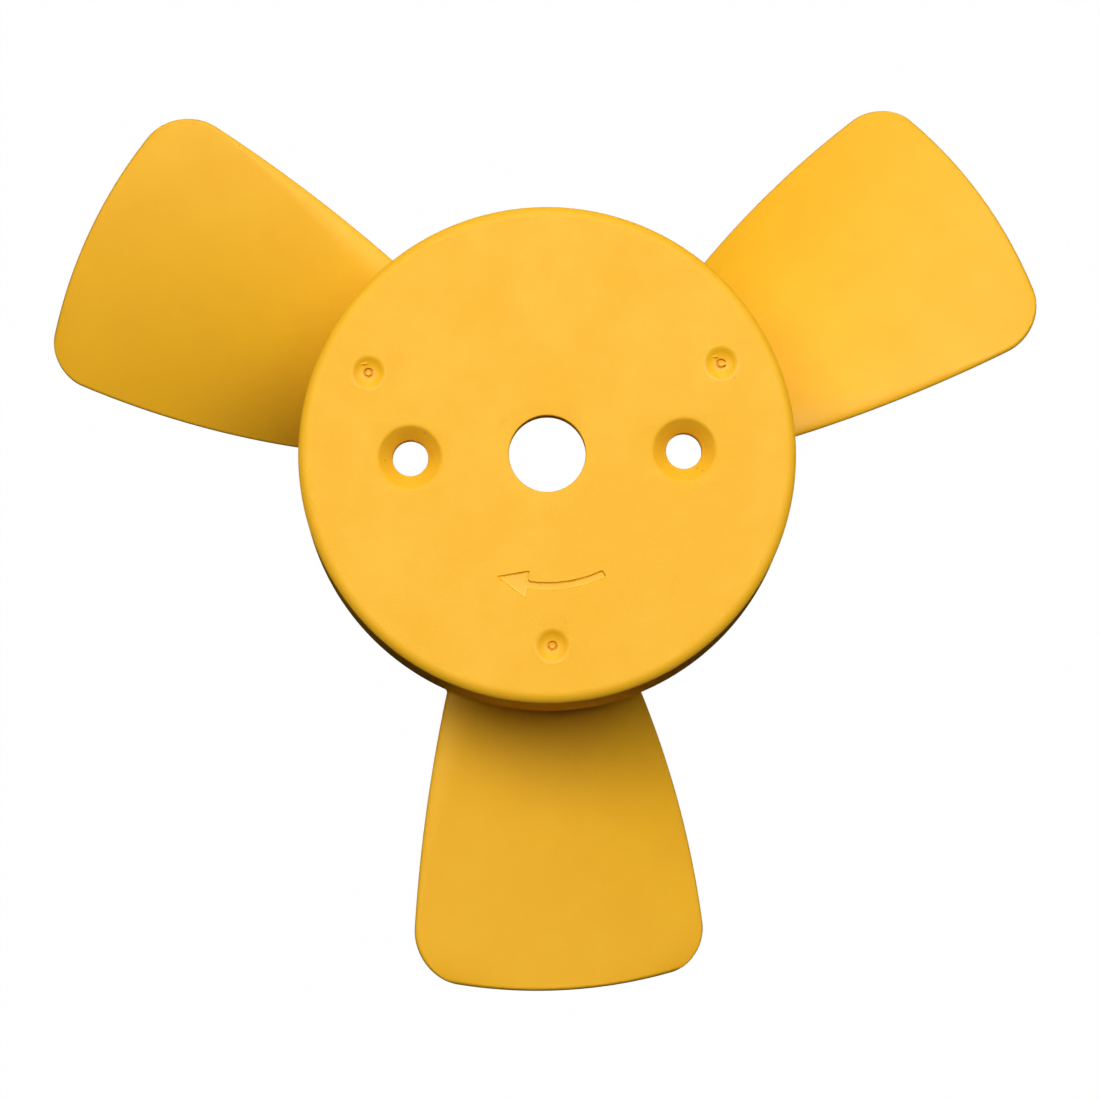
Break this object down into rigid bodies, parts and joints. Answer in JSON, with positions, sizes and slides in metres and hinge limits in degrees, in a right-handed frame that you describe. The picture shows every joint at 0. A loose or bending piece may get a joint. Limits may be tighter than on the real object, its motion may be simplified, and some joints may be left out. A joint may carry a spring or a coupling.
{
  "type": "propeller",
  "caption": "Clockwise screw propeller in yellow moulded plastic: a cup-shaped hub with a shaft bore and countersunk screw holes in its flat face, and wide fan-shaped blades round its skirt.",
  "frame": {"origin": "on the axis of the shaft bore, in the plane inside the cup where the hub seats on the rotor that drives it", "axes": "+Z along the axis of rotation, out of the hub's face; +X through the right screw hole and +Y up as the picture shows the face, with one blade pointing to -Y"},
  "size_m": [0.1633, 0.1456, 0.0465],
  "materials": {
    "yellow_plastic": "satin moulded yellow, coloured through"
  },
  "bodies": {
    "root": {"hub_face": "yellow_plastic", "hub_skirt": "yellow_plastic", "shaft_collar": "yellow_plastic", "screw_bosses": "yellow_plastic", "stiffening_ribs": "yellow_plastic", "blade_1": "yellow_plastic", "blade_2": "yellow_plastic", "blade_3": "yellow_plastic"}
  },
  "joints": []
}
